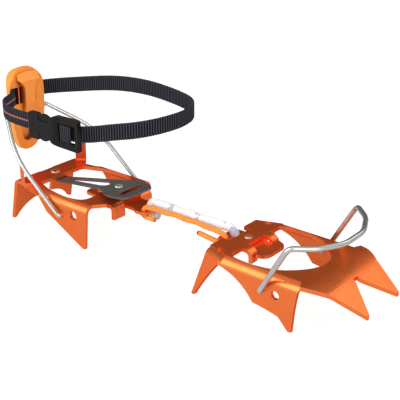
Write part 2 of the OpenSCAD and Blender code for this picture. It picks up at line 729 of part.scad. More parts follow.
// heel bail
heel_leg_y = heel_half + heel_leg_out + heel_wire_d / 2;
function on_heel_bail(t, y) = [heel_x + heel_pivot.x - t * heel_bail_l * cos(heel_bail_angle), y,
  heel_pivot.y + t * heel_bail_l * sin(heel_bail_angle)];
module heel_bail_side(leg_y) {
  wire(rounded([
    on_heel_bail(0, heel_half - sheet_t - overlap),
    on_heel_bail(0, leg_y),
    on_heel_bail(leg_bend, leg_y),
    on_heel_bail(1, lever_half + 2.5),
    on_heel_bail(1, lever_half - 4)
  ], [3, 22, 4], 6), heel_wire_d - wire_skin, [sin(heel_bail_angle), 0.15, cos(heel_bail_angle)]);
  y_pin(heel_x + heel_pivot.x, heel_pivot.y, heel_wire_d, heel_half - sheet_t - pin_out, heel_half + overlap);
}
// the bail is wider than the plate and rests against its right flange
module heel_bail() color(bright_steel) {
  heel_bail_side(heel_leg_y + bail_play);
  mirror([0, 1, 0]) heel_bail_side(heel_leg_y);
  y_pin(lever_pin.x, lever_pin.y, heel_wire_d, -lever_half, lever_half);
}

// heel lever
lever_front_side = concat(
  bezier([0, lever_foot], [9, lever_foot], [11.5, lever_foot + 8], 4),
  bezier([14, lever_foot + 14], [lever_half - 2, lever_foot + 24], [lever_half - 0.5, lever_foot + 34], 4),
  bezier([lever_half, lever_top - 26], [lever_half + 0.5, lever_top - 14],
    [lever_half - 2, lever_top - 9.5], 4),
  bezier([lever_half - 3.5, lever_top - 7.5], [lever_half - 7, lever_top - 3], [8, lever_top - 1], 4),
  [[0, lever_top]]
);
lever_profile = concat(
  [[lever_back + 3, lever_foot], [lever_face - 3, lever_foot]],
  bezier([lever_face - 2, lever_foot + 6], [lever_face, lever_pin.y - 16], [lever_face, lever_pin.y], 4),
  [[lever_face, lever_top - 8], [lever_face - 2, lever_top], [lever_back + 3, lever_top]],
  bezier([lever_back, lever_top - 5], [lever_back, lever_pin.y + 4],
    [lever_back + 1.5, lever_pin.y - 12], 4)
);
lever_plan_side = concat(
  [[lever_face + 1, lever_half + 1], [lever_face - lever_rim, lever_half + 1]],
  bezier([lever_face - lever_rim, lever_half], [lever_back + 1, lever_half - 2],
    [lever_back, lever_half - 12], 6)
);
rib_side = concat(
  [[0, rib_foot], [rib_half, rib_foot]],
  bezier([rib_half, lever_top - 18], [rib_half + 0.5, lever_top - 13], [thumb_half, lever_top - 9], 4),
  [[thumb_half - 1, lever_top - 4], [0, lever_top - 3]]
);
rib_profile = [
  [lever_face - 1.5, rib_foot], [lever_face + 1.5, rib_foot], [lever_face + rib_out - 1, rib_foot + 14],
  [lever_face + rib_out, lever_top - 10], [lever_face + 0.8, lever_top - 3], [lever_face - 1.5, lever_top - 3]
];
pocket_side = concat(
  bezier([0, pocket_foot], [pocket_half - 2, pocket_foot], [pocket_half - 1, pocket_foot + 8], 4),
  bezier([pocket_half, pocket_top - 6], [pocket_half + 0.5, pocket_top], [pocket_half - 5, pocket_top], 4),
  [[0, pocket_top]]
);
module front_prism(half, x_from, x_to) {
  translate([x_from, 0, 0]) rotate([90, 0, 90]) linear_extrude(x_to - x_from)
    polygon(concat(half, [for (i = [len(half) - 1:-1:0]) [-half[i].x, half[i].y]]));
}
module lever_window(x_from, y_from, y_to) {
  translate([x_from, y_from, strap_z - slot_h / 2]) cube([lever_t, y_to - y_from, slot_h]);
}
module lever_rib() {
  intersection() {
    front_prism(rib_side, lever_face - 1.5, lever_face + rib_out);
    side_prism(rib_profile);
  }
}
module heel_lever() color(lever_orange) difference() {
  union() {
    intersection() {
      front_prism(lever_front_side, lever_back - 1, lever_face + 1);
      side_prism(lever_profile);
      plan_prism(concat(lever_plan_side, mirrored(lever_plan_side)), 0, lever_top + 1);
    }
    lever_rib();
    y_pin(lever_pin.x, lever_pin.y, lever_barrel_d, 1.5 - lever_half, lever_half - 1.5);
  }
  y_pin(lever_pin.x, lever_pin.y, heel_wire_d + 2 * pin_fit, -lever_half, lever_half);
  translate([pass_x - webbing_t / 2 - soft_gap, slot_in_y, strap_z - slot_h / 2])
    cube([webbing_t + 2 * soft_gap, lever_w, slot_h]);
  lever_window(pass_x - webbing_t / 2 - soft_gap, slot_out_y, slot_in_y + overlap);
  lever_window(pass_x, -rib_half - 3, -rib_half - rib_edge);
  lever_window(pass_x, rib_half + rib_edge, rib_half + 4);
  front_prism(pocket_side, lever_back + 3.5, lever_face + 1);
}

// strap and buckle
strap_path = flow([
  [pass_x, slot_in_y + 1.5, strap_z],
  [pass_x, 0, strap_z],
  [pass_x, lever_half - 3, strap_z],
  [pass_x + soft_gap, lever_half + 1.5, strap_z],
  [pass_x + 6, lever_half + 6.5, strap_z + 1],
  [lever_face + 22, loop_half - 16, strap_z + 4],
  [lever_face + 54, loop_half - 2.5, strap_z + 7.8],
  [lever_face + 86, loop_half - loop_swell, strap_z + 10],
  [loop_front - 42, loop_half - 5.5, strap_z + 10.8],
  [loop_front - 15, loop_half - 13, strap_z + 10.3],
  [loop_front - 4, loop_half - 22, strap_z + 9],
  [loop_front, 14, strap_z + 8.2],
  [loop_front - 2, 1, strap_z + 7.2],
  [loop_front - 7.5, -12, strap_z + 6],
  [loop_front - 16, -23, strap_z + 4.6],
  [loop_front - 28, buckle_y + 16.5, strap_z + 3],
  [buckle_front + 2, buckle_y + 8.5, buckle_z + 0.2],
  [buckle_front - 7, strap_in_y + 0.4, buckle_z],
  [ladder_bar_x + 3, strap_in_y, buckle_z]
], 4);
module strap_loop() color(webbing_black) band(strap_path, webbing_w, webbing_t);
fold_path = concat(
  [[ladder_bar_x + 2.6, strap_in_y, buckle_z]],
  [for (a = [0:22.5:180]) [ladder_bar_x - fold_r_mid * sin(a), buckle_y + fold_r_mid * cos(a), buckle_z]],
  [[ladder_bar_x + 9, buckle_y - fold_r_mid, buckle_z]]
);
module strap_fold() color(webbing_black) band(fold_path, webbing_w, webbing_t);
stub_path = flow([
  [pass_x, slot_in_y - 1, strap_z],
  [lever_face - 2, slot_in_y - 2.5, strap_z],
  [lever_face + 3, slot_in_y - 7, strap_z],
  [lever_face + 8, slot_in_y - 16, strap_z],
  [lever_face + 14, buckle_y + 12, strap_z],
  [lever_face + 25, buckle_y + 5, buckle_z],
  [lever_face + 39, buckle_y + stub_in + soft_gap, buckle_z],
  [male_rear - 9, buckle_y + stub_in, buckle_z],
  [male_rear, buckle_y + stub_in, buckle_z],
  [male_rear + stub_end, buckle_y + stub_in, buckle_z]
], 4);
module strap_stub() color(webbing_black) band(stub_path, webbing_w, webbing_t);
module stub_stitch() color(thread_grey)
  translate([male_rear - stitch_back, buckle_y + stub_in - webbing_t / 2 - stitch_gap - stitch_t / 2,
    buckle_z])
    cube([stitch_w, stitch_t, webbing_w - 3], center = true);
body_x = female_rear + prong_l;
female_side = concat(
  [[female_rear, block_half], [body_x, block_half]],
  corner([body_x, 0], [body_x, buckle_half - 2.5], [window_rear, buckle_half - 0.5], 3, 3),
  corner([body_x, buckle_half - 2.5], [window_rear, buckle_half - 0.5], [buckle_front, buckle_half], 3, 3),
  corner([window_rear, buckle_half - 0.5], [buckle_front, buckle_half], [buckle_front, 0], 2.5, 4)
);
female_plan = [
  [female_rear - 1, buckle_y - buckle_t / 2], [window_rear - 5, buckle_y - buckle_t / 2],
  [window_rear + 1, buckle_y - frame_out], [buckle_front + 1, buckle_y - frame_out],
  [buckle_front + 1, buckle_y + frame_in], [window_rear + 1, buckle_y + frame_in],
  [window_rear - 5, buckle_y + buckle_t / 2], [female_rear - 1, buckle_y + buckle_t / 2]
];
module buckle_outline(half, y_from, y_to) {
  translate([0, 0, buckle_z]) side_slab(concat(half, mirrored(half)), y_from, y_to);
}
module buckle_female() color(buckle_black) {
  difference() {
    intersection() {
      buckle_outline(female_side, buckle_y - buckle_t, buckle_y + buckle_t);
      plan_prism(female_plan, buckle_z - buckle_h, buckle_z + buckle_h);
    }
    translate([window_rear, buckle_y - buckle_t, buckle_z - slot_h / 2])
      cube([buckle_front - front_bar - window_rear, 2 * buckle_t, slot_h]);
  }
  translate([ladder_bar_x, buckle_y, buckle_z])
    cylinder(d = ladder_bar_t, h = buckle_h - 3, center = true);
}
base_end = female_rear - slide_gap;
arm_in = block_half + slide_gap;
arm_end = body_x - slide_gap;
arm_out = buckle_half - 3;
arm_side = concat(
  [[base_end - 2, arm_in], [arm_end, arm_in], [arm_end, arm_out - 1.6]],
  bezier([arm_end - 1, arm_out - 0.4], [female_rear + 5, arm_out + 2.4], [base_end, arm_out], 5),
  [[base_end - 2, arm_out]]
);
base_side = concat(
  corner([male_rear, 0], [male_rear, arm_out + 1], [base_end, arm_out + 1], 3, 4),
  corner([male_rear, arm_out + 1], [base_end, arm_out + 1], [base_end, 0], 2, 3)
);
module buckle_male() color(buckle_black) {
  buckle_outline(base_side, male_face, male_face + male_base_t);
  for (up = [0, 1]) translate([0, 0, buckle_z]) mirror([0, 0, up])
    side_slab(arm_side, male_face + prong_inset, male_face + male_base_t - prong_inset);
}

heel_plate();
lock_rivet();
lock_plate();
lock_stud();
link_bar();
white_strand();
orange_strand();
cord_tip();
front_plate();
link_bracket();
stop_rivet();
toe_bail();
heel_bail();
heel_lever();
strap_loop();
strap_fold();
strap_stub();
stub_stitch();
buckle_female();
buckle_male();
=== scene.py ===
import json
import math

import bpy
import numpy as np
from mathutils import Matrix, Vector


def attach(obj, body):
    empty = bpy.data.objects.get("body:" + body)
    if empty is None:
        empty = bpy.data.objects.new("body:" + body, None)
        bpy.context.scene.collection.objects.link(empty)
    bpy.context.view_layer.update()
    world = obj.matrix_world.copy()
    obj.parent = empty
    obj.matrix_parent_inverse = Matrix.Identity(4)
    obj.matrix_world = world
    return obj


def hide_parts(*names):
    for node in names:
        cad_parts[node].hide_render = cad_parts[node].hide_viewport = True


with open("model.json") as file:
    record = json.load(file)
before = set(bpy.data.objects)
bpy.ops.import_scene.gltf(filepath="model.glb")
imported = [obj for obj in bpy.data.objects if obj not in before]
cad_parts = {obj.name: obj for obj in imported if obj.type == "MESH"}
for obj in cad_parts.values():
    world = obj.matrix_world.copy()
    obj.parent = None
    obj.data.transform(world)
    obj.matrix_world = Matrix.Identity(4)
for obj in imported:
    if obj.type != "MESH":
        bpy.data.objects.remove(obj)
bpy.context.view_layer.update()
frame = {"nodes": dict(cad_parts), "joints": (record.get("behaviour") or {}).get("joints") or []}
nodes = frame["nodes"]
scene = bpy.context.scene
MM = 0.001
UP = np.array([0, 0, 1.0])
LEFT = np.array([0, 1.0, 0])
WHITE = (1, 1, 1, 1)


def pivot(name):
    """Where a hinge lies along X and Z, in millimetres."""
    joint = next(j for j in frame["joints"] if j["name"] == name)
    return joint["pos_m"][0] / MM, joint["pos_m"][2] / MM


# Sizes and places are in millimetres, X towards the toe, Y to the left, Z up.
# Hinges of the cords, the bails and the lever
REAR_WEB, CORD_Z = pivot("cord_rear")
FRONT_WEB, _ = pivot("cord_front")
TOE_X, TOE_Z = pivot("toe_bail_swing")
HEEL_X, HEEL_Z = pivot("heel_bail_swing")
PIN_X, PIN_Z = pivot("lever_throw")

# Lever: its front face, half its width, and where the strap passes through it
LEVER_FACE = PIN_X + 3.6
LEVER_HALF = 18.5
PASS_X = PIN_X - 0.9
SLOT_Y = -10.0

# Strap: its height at the lever, its loop, and the weave of the webbing
STRAP_Z = PIN_Z + 14
LOOP_HALF = 51.1
LOOP_FRONT = LEVER_FACE + 161
WEB_W = 13.5
WEB_T = 1.8
RIB_PITCH = 2.0
RIB_STEPS = 12
WEB_ROWS = 15
RIB_DEPTH = 0.4
SCALLOP = 0.45
EDGE_ROUNDING = 14
EDGE_LEAST = 0.12
TRACER_HALF = 0.12

# Buckle: its ladder bar, and the rear end of its inserting half
BUCKLE_Y = -48.5
BUCKLE_Z = STRAP_Z - 0.5
BUCKLE_FRONT = LEVER_FACE + 114
LADDER_X = BUCKLE_FRONT - 17
FOLD_R = 2.5
FOLD_TAIL = 9
FOLD_STEPS = 19
STRAP_IN = BUCKLE_Y + FOLD_R
MALE_REAR = BUCKLE_FRONT - 53
STUB_Y = BUCKLE_Y + 1.9

# Bar tack: a close zigzag of thread on the outer face of the short side
TACK_X = MALE_REAR - 4
TACK_Y = STUB_Y - WEB_T / 2 - 0.25
TACK_HALF = 1.0
TACK_H = 10.4
TACK_PASSES = 28
THREAD_R = 0.24
THREAD_STEP = 0.2
THREAD_SIDES = 8

# Link cords: room round the webs, diameters, braid, flecked patches and slack
CORD_IN = 2.1
WHITE_D = 7
ORANGE_D = 4.2
WHITE_CARRIERS = 8
ORANGE_CARRIERS = 6
CORD_STEP = 0.22
CORD_SIDES = 72
BRAID_SLOPE = 0.8
YARN_DEPTH = 0.1
SWELL = 0.03
SWELL_RATE = 0.33
SWELL_TURN = 0.4
PATCH_RATE = 0.21
PATCH_FINE_RATE = 0.53
PATCH_START = 1.1
PATCH_LEVEL = 0.5
HOOK_STEPS = 25
SLACK_STEPS = 40
BOW_FULLNESS = 0.7
WAVES = 7

# Bails: wire, ends inside the flanges, legs, and how far each corner is rounded off
WIRE_STEP = 0.8
WIRE_SIDES = 20
WIRE_CHAMFER = 0.4
WIRE_FIRST_SIDE = [0.3, 0.2, 1.0]
TOE_D = 4
TOE_IN = 33
TOE_LEG = 43.4
TOE_TOP_X = TOE_X + 22
TOE_TOP_Z = TOE_Z + 39
TOE_BOW = 23
TOE_SHOULDER_X = TOE_TOP_X + 0.6 * TOE_BOW
TOE_SHOULDER_Y = TOE_LEG - 12
TOE_NOSE_HALF = 12
TOE_BENDS = [3, 5, 6, 6]
HEEL_D = 3.5
HEEL_IN = 32
HEEL_LEFT = 52.55
HEEL_RIGHT = -40.55
LEG_BEND = 0.6
BAR_HALF = LEVER_HALF + 2.5
HEEL_BENDS = [3, 22, 4, 4, 22, 3]

# Level way from the camera past the object, into the darker part of the room
BEHIND = (-0.63, 0.78, 0)


class Graph:
    """Short calls for the nodes of a material or a world."""

    def __init__(self, tree):
        self.tree = tree

    def plug(self, socket, value):
        if isinstance(value, bpy.types.NodeSocket):
            self.tree.links.new(value, socket)
        else:
            socket.default_value = value

    def add(self, kind, settings=None, **inputs):
        made = self.tree.nodes.new(kind)
        for key, value in (settings or {}).items():
            setattr(made, key, value)
        for key, value in inputs.items():
            self.plug(made.inputs[key.replace("_", " ")], value)
        return made

    def math(self, operation, a, b):
        made = self.add("ShaderNodeMath", {"operation": operation})
        self.plug(made.inputs[0], a)
        self.plug(made.inputs[1], b)
        return made.outputs[0]

    def dot(self, a, b):
        made = self.add("ShaderNodeVectorMath", {"operation": "DOT_PRODUCT"})
        self.plug(made.inputs[0], a)
        self.plug(made.inputs[1], b)
        return made.outputs["Value"]

    def mix(self, factor, a, b):
        """Mix of two colours, which are the node's inputs 6 and 7 and its output 2."""
        made = self.add("ShaderNodeMix", {"data_type": "RGBA"}, Factor=factor)
        self.plug(made.inputs[6], a)
        self.plug(made.inputs[7], b)
        return made.outputs[2]

    def span(self, value, low, high, to_low=0.0, to_high=1.0):
        """A value that goes smoothly from to_low to to_high between low and high."""
        return self.add("ShaderNodeMapRange", {"interpolation_type": "SMOOTHSTEP"}, Value=value,
                        From_Min=low, From_Max=high, To_Min=to_low, To_Max=to_high).outputs[0]


class Shader(Graph):
    """A material with a Principled node."""

    def __init__(self, name):
        self.material = bpy.data.materials.new(name)
        self.material.use_nodes = True
        super().__init__(self.material.node_tree)
        self.bsdf = self.tree.nodes["Principled BSDF"]

    def set(self, **inputs):
        for key, value in inputs.items():
            self.plug(self.bsdf.inputs[key.replace("_", " ")], value)

    def noise(self, scale, detail, stretch=(1, 1, 1)):
        coords = self.add("ShaderNodeTexCoord").outputs["Object"]
        place = self.add("ShaderNodeMapping", Vector=coords, Scale=stretch).outputs[0]
        return self.add("ShaderNodeTexNoise", Vector=place, Scale=scale, Detail=detail).outputs["Fac"]

    def attribute(self, name):
        return self.add("ShaderNodeAttribute", {"attribute_name": name}).outputs["Fac"]

    def bump(self, height, distance, strength, soft_edge=0.0):
        """Fine relief, with edges rounded by soft_edge metres."""
        made = self.add("ShaderNodeBump", Height=height, Distance=distance, Strength=strength)
        if soft_edge:
            soft = self.add("ShaderNodeBevel", {"samples": 6}, Radius=soft_edge)
            self.plug(made.inputs["Normal"], soft.outputs[0])
        self.plug(self.bsdf.inputs["Normal"], made.outputs[0])

    def edge(self, width):
        """1 on sharp edges, 0 on faces."""
        soft = self.add("ShaderNodeBevel", {"samples": 8}, Radius=width).outputs[0]
        normal = self.add("ShaderNodeNewGeometry").outputs["Normal"]
        return self.span(self.dot(soft, normal), 0.78, 0.98, 1.0, 0.0)


def rgb(r, g, b):
    """Linear colour from the 0 to 255 numbers of a screen colour."""
    parts = [c / 255 for c in (r, g, b)]
    return [c / 12.92 if c < 0.04045 else ((c + 0.055) / 1.055) ** 2.4 for c in parts] + [1.0]


def darker(colour, share):
    return [c * share for c in colour[:3]] + [1.0]


def anodised():
    """Satin dyed aluminium, whose colour is deeper where it is seen at a slant, with a painted highlight
    along its sharp edges.
    """
    s = Shader("anodised_orange")
    cloud = s.noise(45, 3)
    tone = s.mix(s.math("MULTIPLY", cloud, 0.3), rgb(245, 128, 69), rgb(239, 108, 52))
    # Painted highlight: sharp edges are painted a lighter salmon, which partly also stands for rubbed
    # edges
    tone = s.mix(s.math("MULTIPLY", s.edge(0.0007), 0.6), tone, rgb(255, 186, 136))
    s.set(Base_Color=tone, Metallic=0.9, Roughness=s.span(cloud, 0.3, 0.7, 0.27, 0.35),
          Specular_Tint=(1, 0, 0.15, 1))
    return s.material


def spring_steel():
    s = Shader("spring_steel")
    cloud = s.noise(60, 4)
    s.set(Base_Color=s.mix(cloud, rgb(88, 88, 86), rgb(122, 121, 117)), Metallic=0.75,
          Roughness=s.span(cloud, 0.3, 0.7, 0.36, 0.48))
    s.bump(s.noise(700, 2), 0.00004, 0.3, 0.0004)
    return s.material


def bright_wire():
    s = Shader("bright_wire")
    cloud = s.noise(70, 2)
    s.set(Base_Color=s.mix(cloud, rgb(184, 184, 181), rgb(206, 206, 202)), Metallic=1.0,
          Roughness=s.span(cloud, 0.3, 0.7, 0.22, 0.3))
    s.bump(s.noise(300, 2), 0.00002, 0.05)
    return s.material


def rivet_metal(name, dull, bright):
    s = Shader(name)
    scuff = s.noise(500, 4)
    s.set(Base_Color=s.mix(scuff, dull, bright), Metallic=0.9,
          Roughness=s.span(scuff, 0.3, 0.7, 0.28, 0.42))
    s.bump(scuff, 0.00005, 0.3, 0.0003)
    return s.material


def lever_plastic():
    """Moulded plastic, with deep red painted shade in its slots and pocket, where little is open round
    it.
    """
    s = Shader("lever_plastic")
    tone = s.mix(s.noise(50, 3), rgb(255, 144, 48), rgb(255, 160, 66))
    # Painted shade: the more closed in a point is, the more its colour is painted deep red
    open_share = s.add("ShaderNodeAmbientOcclusion", {"samples": 16}, Distance=0.012).outputs["AO"]
    tone = s.mix(s.span(open_share, 0.3, 0.9, 1.0, 0.0), tone, rgb(110, 22, 4))
    s.set(Base_Color=tone, Roughness=0.36, Specular_IOR_Level=0.35)
    s.bump(s.noise(1100, 2), 0.00002, 0.15, 0.0004)
    return s.material


def buckle_plastic():
    s = Shader("buckle_plastic")
    cloud = s.noise(80, 3)
    s.set(Base_Color=s.mix(cloud, rgb(12, 10, 10), rgb(20, 18, 18)),
          Roughness=s.span(cloud, 0.3, 0.7, 0.18, 0.26), Specular_IOR_Level=0.16)
    s.bump(s.noise(1000, 2), 0.00004, 0.2, 0.0005)
    return s.material


def webbing(name, tracer):
    """Black woven strap with a painted highlight on its rib crests and painted shade between them, with a
    coloured tracer line or without.
    """
    s = Shader(name)
    rib = s.attribute("rib")
    fibre = s.noise(1500, 2, (1, 1, 0.25))
    # Painted highlight and shade: rib crests are painted pale grey, the grooves between them near black
    tone = s.mix(s.span(rib, 0.55, 1.0), rgb(5, 5, 9), rgb(72, 72, 84))
    tone = s.mix(s.math("MULTIPLY", fibre, 0.16), tone, rgb(50, 50, 60))
    if tracer:
        # The tracer line is also painted brighter on the rib crests: a painted highlight
        line = s.math("MULTIPLY", s.attribute("tracer"), s.span(rib, 0.1, 0.6, 0.55, 1.0))
        tone = s.mix(line, tone, rgb(206, 132, 108))
    s.set(Base_Color=tone, Roughness=0.65, Specular_IOR_Level=0.15)
    s.bump(fibre, 0.00012, 0.5)
    return s.material


def cord(name, body, fleck):
    """Braid of one colour with flecked yarns, with painted shade between the yarns."""
    s = Shader(name)
    fibre = s.noise(1300, 3)
    tone = s.mix(s.math("MULTIPLY", s.attribute("fleck"), 0.8), body, fleck)
    # Painted shade: the low places between the yarns are painted darker
    tone = s.mix(s.span(s.attribute("yarn"), 0.0, 0.7, 0.5, 0.0), tone, darker(body, 0.35))
    tone = s.mix(s.math("MULTIPLY", fibre, 0.18), tone, darker(body, 0.6))
    s.set(Base_Color=tone, Roughness=0.75, Sheen_Weight=0.1)
    s.bump(fibre, 0.0002, 0.4)
    return s.material


def sealed_end():
    s = Shader("sealed_end")
    melt = s.noise(500, 3)
    s.set(Base_Color=s.mix(melt, rgb(92, 28, 8), rgb(150, 54, 16)), Roughness=0.45)
    s.bump(melt, 0.0002, 0.5)
    return s.material


def thread():
    s = Shader("bar_tack_thread")
    ply = s.noise(1800, 2)
    s.set(Base_Color=s.mix(ply, rgb(150, 148, 150), rgb(214, 212, 212)), Roughness=0.7)
    s.bump(ply, 0.0001, 0.4)
    return s.material


def floor_white():
    """Pale floor that the camera sees as white, with a faint shadow."""
    s = Shader("floor_white")
    s.set(Base_Color=(0.7, 0.7, 0.7, 1), Roughness=0.9, Specular_IOR_Level=0.0)
    ray = s.add("ShaderNodeLightPath")
    seen = s.math("MAXIMUM", ray.outputs["Is Camera Ray"], ray.outputs["Is Transmission Ray"])
    seen = s.math("MAXIMUM", seen, s.math("MULTIPLY", ray.outputs["Is Glossy Ray"], 0.2))
    glow = s.add("ShaderNodeEmission", Color=WHITE, Strength=0.82)
    dim = s.add("ShaderNodeBsdfDiffuse", Color=(0.35, 0.35, 0.35, 1))
    both = s.add("ShaderNodeAddShader")
    s.plug(both.inputs[0], glow.outputs[0])
    s.plug(both.inputs[1], dim.outputs[0])
    pick = s.add("ShaderNodeMixShader")
    s.plug(pick.inputs[0], seen)
    s.plug(pick.inputs[1], s.bsdf.outputs[0])
    s.plug(pick.inputs[2], both.outputs[0])
    s.plug(s.tree.nodes["Material Output"].inputs["Surface"], pick.outputs[0])
    return s.material


def lengths(vectors):
    return np.linalg.norm(vectors, axis=1)


def flow(points, steps=14):
    """Smooth curve through all the points."""
    p = np.array(points, float)
    out = []
    for i in range(len(p) - 1):
        a, b, c, d = p[max(i - 1, 0)], p[i], p[i + 1], p[min(i + 2, len(p) - 1)]
        for k in range(steps):
            t = k / steps
            out.append(0.5 * (2 * b + t * (c - a) + t * t * (2 * a - 5 * b + 4 * c - d)
                              + t ** 3 * (3 * b - a - 3 * c + d)))
    return np.array(out + [p[-1]])


def resample(path, step):
    """Points at equal steps along a path, and their distance from its start."""
    ends = np.concatenate([[0], np.cumsum(lengths(np.diff(path, axis=0)))])
    at = np.linspace(0, ends[-1], max(3, round(ends[-1] / step) + 1))
    return np.stack([np.interp(at, ends, path[:, i]) for i in range(3)], 1), at


def rounded(points, cuts, steps=10):
    """Path through corner points, each corner rounded off from the given distance before it."""
    p = np.array(points, float)
    out = [p[0]]
    for before, corner, after, cut in zip(p, p[1:], p[2:], cuts):
        start = corner + cut * (before - corner) / np.linalg.norm(before - corner)
        end = corner + cut * (after - corner) / np.linalg.norm(after - corner)
        for t in np.linspace(0, 1, steps + 1):
            out.append((1 - t) ** 2 * start + 2 * t * (1 - t) * corner + t * t * end)
    return np.array(out + [p[-1]])


def tangents(path):
    way = np.gradient(path, axis=0)
    return way / lengths(way)[:, None]


def circles(sides, first, second):
    """Unit circle for each pair of crossed directions, or for one such pair."""
    angle = np.linspace(0, 2 * math.pi, sides, endpoint=False)[:, None]
    return np.cos(angle) * first[..., None, :] + np.sin(angle) * second[..., None, :]


def add_object(mesh):
    obj = bpy.data.objects.new(mesh.name, mesh)
    scene.collection.objects.link(obj)
    return obj


def skin(name, rings, material):
    """Closed tube through equal rings of points given in millimetres."""
    n, m = rings.shape[:2]
    faces = [(i * m + k, i * m + (k + 1) % m, (i + 1) * m + (k + 1) % m, (i + 1) * m + k)
             for i in range(n - 1) for k in range(m)]
    faces += [tuple(range(m))[::-1], tuple(range((n - 1) * m, n * m))]
    mesh = bpy.data.meshes.new(name)
    mesh.from_pydata((rings.reshape(-1, 3) * MM).tolist(), [], faces)
    mesh.shade_smooth()
    mesh.materials.append(material)
    return add_object(mesh)


def mark(obj, name, values):
    """A number for each point of a mesh, for its material to read."""
    layer = obj.data.attributes.new(name, "FLOAT", "POINT")
    layer.data.foreach_set("value", np.asarray(values, np.float32).ravel())


def make_webbing(name, path, material):
    """Woven strap on edge: cross ribs swell its faces and scallop its edges."""
    path, at = resample(path, RIB_PITCH / RIB_STEPS)
    along = tangents(path)
    side = np.stack([-along[:, 1], along[:, 0], 0 * at], 1)
    side /= lengths(side)[:, None]
    crest = 0.5 + 0.5 * np.cos(2 * np.pi * at / RIB_PITCH)
    rise = np.linspace(-1, 1, WEB_ROWS)
    rows = np.concatenate([rise, rise[::-1]])
    face = np.concatenate([np.ones(WEB_ROWS), -np.ones(WEB_ROWS)])
    taper = np.clip(1 - np.abs(rows) ** EDGE_ROUNDING, EDGE_LEAST, 1)
    out = (WEB_T / 2 - RIB_DEPTH * (1 - crest))[:, None] * taper * face
    high = (WEB_W / 2 - SCALLOP * (1 - crest))[:, None] * rows
    rings = path[:, None] + side[:, None] * out[:, :, None] + UP * high[:, :, None]
    obj = skin(name, rings, material)
    mark(obj, "rib", np.repeat(crest[:, None], len(rows), 1))
    mark(obj, "tracer", np.repeat((np.abs(rows) < TRACER_HALF)[None], len(at), 0))
    return obj


def make_cord(name, path, diameter, carriers, material, fleck_yarns):
    """Braided cord: two families of yarns wind opposite ways and pass over and under."""
    path, at = resample(path, CORD_STEP)
    along = tangents(path)
    side = np.cross(along, LEFT)
    side /= lengths(side)[:, None]
    turn = np.arange(CORD_SIDES) / CORD_SIDES
    slope = carriers / (math.pi * diameter) * BRAID_SLOPE
    one = carriers * turn + slope * at[:, None]
    two = carriers * turn - slope * at[:, None]
    over = (np.floor(one) + np.floor(two)) % 2 == 0
    yarn = np.where(over, one, two)
    height = np.sqrt(np.clip(1 - (2 * (yarn % 1) - 1) ** 2, 0, 1))
    uneven = np.sin(SWELL_RATE * at)[:, None] * np.cos(4 * math.pi * turn + SWELL_TURN)
    radius = diameter / 2 * (1 - YARN_DEPTH * (1 - height)) * (1 - SWELL * (1 + uneven))
    ring = circles(CORD_SIDES, side, np.cross(side, along))
    obj = skin(name, path[:, None] + radius[:, :, None] * ring, material)
    patch = np.sin(PATCH_RATE * at + PATCH_START) + np.sin(PATCH_FINE_RATE * at) > PATCH_LEVEL
    mark(obj, "yarn", height)
    mark(obj, "fleck", np.isin(np.floor(yarn) % carriers, fleck_yarns) & patch[:, None])
    return obj


def make_wire(name, path, diameter, material):
    """Round wire with chamfered ends."""
    path, at = resample(path, WIRE_STEP)
    along = tangents(path)
    side = np.cross(along[0], WIRE_FIRST_SIDE)
    rings = []
    for place, way, from_start in zip(path, along, at):
        side = side - way * np.dot(side, way)
        side /= np.linalg.norm(side)
        inset = max(0.0, WIRE_CHAMFER - min(from_start, at[-1] - from_start))
        rings.append(place + (diameter / 2 - inset) * circles(WIRE_SIDES, side, np.cross(side, way)))
    return skin(name, np.array(rings), material)


def ankle_strap():
    """From the lever round the ankle, into the buckle and back round its ladder bar."""
    loop = flow([
        (PASS_X, SLOT_Y + 1.5, STRAP_Z),
        (PASS_X, 0, STRAP_Z),
        (PASS_X, LEVER_HALF - 3, STRAP_Z),
        (PASS_X + 0.4, LEVER_HALF + 1.5, STRAP_Z),
        (PASS_X + 6, LEVER_HALF + 6.5, STRAP_Z + 1),
        (LEVER_FACE + 22, LOOP_HALF - 16, STRAP_Z + 4),
        (LEVER_FACE + 54, LOOP_HALF - 2.5, STRAP_Z + 7.8),
        (LEVER_FACE + 86, LOOP_HALF - 0.25, STRAP_Z + 10),
        (LOOP_FRONT - 42, LOOP_HALF - 5.5, STRAP_Z + 10.8),
        (LOOP_FRONT - 15, LOOP_HALF - 13, STRAP_Z + 10.3),
        (LOOP_FRONT - 4, LOOP_HALF - 22, STRAP_Z + 9),
        (LOOP_FRONT, 14, STRAP_Z + 8.2),
        (LOOP_FRONT - 2, 1, STRAP_Z + 7.2),
        (LOOP_FRONT - 7.5, -12, STRAP_Z + 6),
        (LOOP_FRONT - 16, -23, STRAP_Z + 4.6),
        (LOOP_FRONT - 28, BUCKLE_Y + 16.5, STRAP_Z + 3),
        (BUCKLE_FRONT + 2, BUCKLE_Y + 8.5, BUCKLE_Z + 0.2),
        (BUCKLE_FRONT - 7, STRAP_IN + 0.4, BUCKLE_Z),
        (LADDER_X + 3, STRAP_IN, BUCKLE_Z),
    ])
    fold = [(LADDER_X - FOLD_R * math.sin(a), BUCKLE_Y + FOLD_R * math.cos(a), BUCKLE_Z)
            for a in np.linspace(0, math.pi, FOLD_STEPS)]
    tail = [(LADDER_X + FOLD_TAIL, BUCKLE_Y - FOLD_R, BUCKLE_Z)]
    strap = make_webbing("ankle_strap", np.concatenate([loop, fold, tail]), webbing("webbing", False))
    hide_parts("strap_loop", "strap_fold")
    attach(strap, "lever")


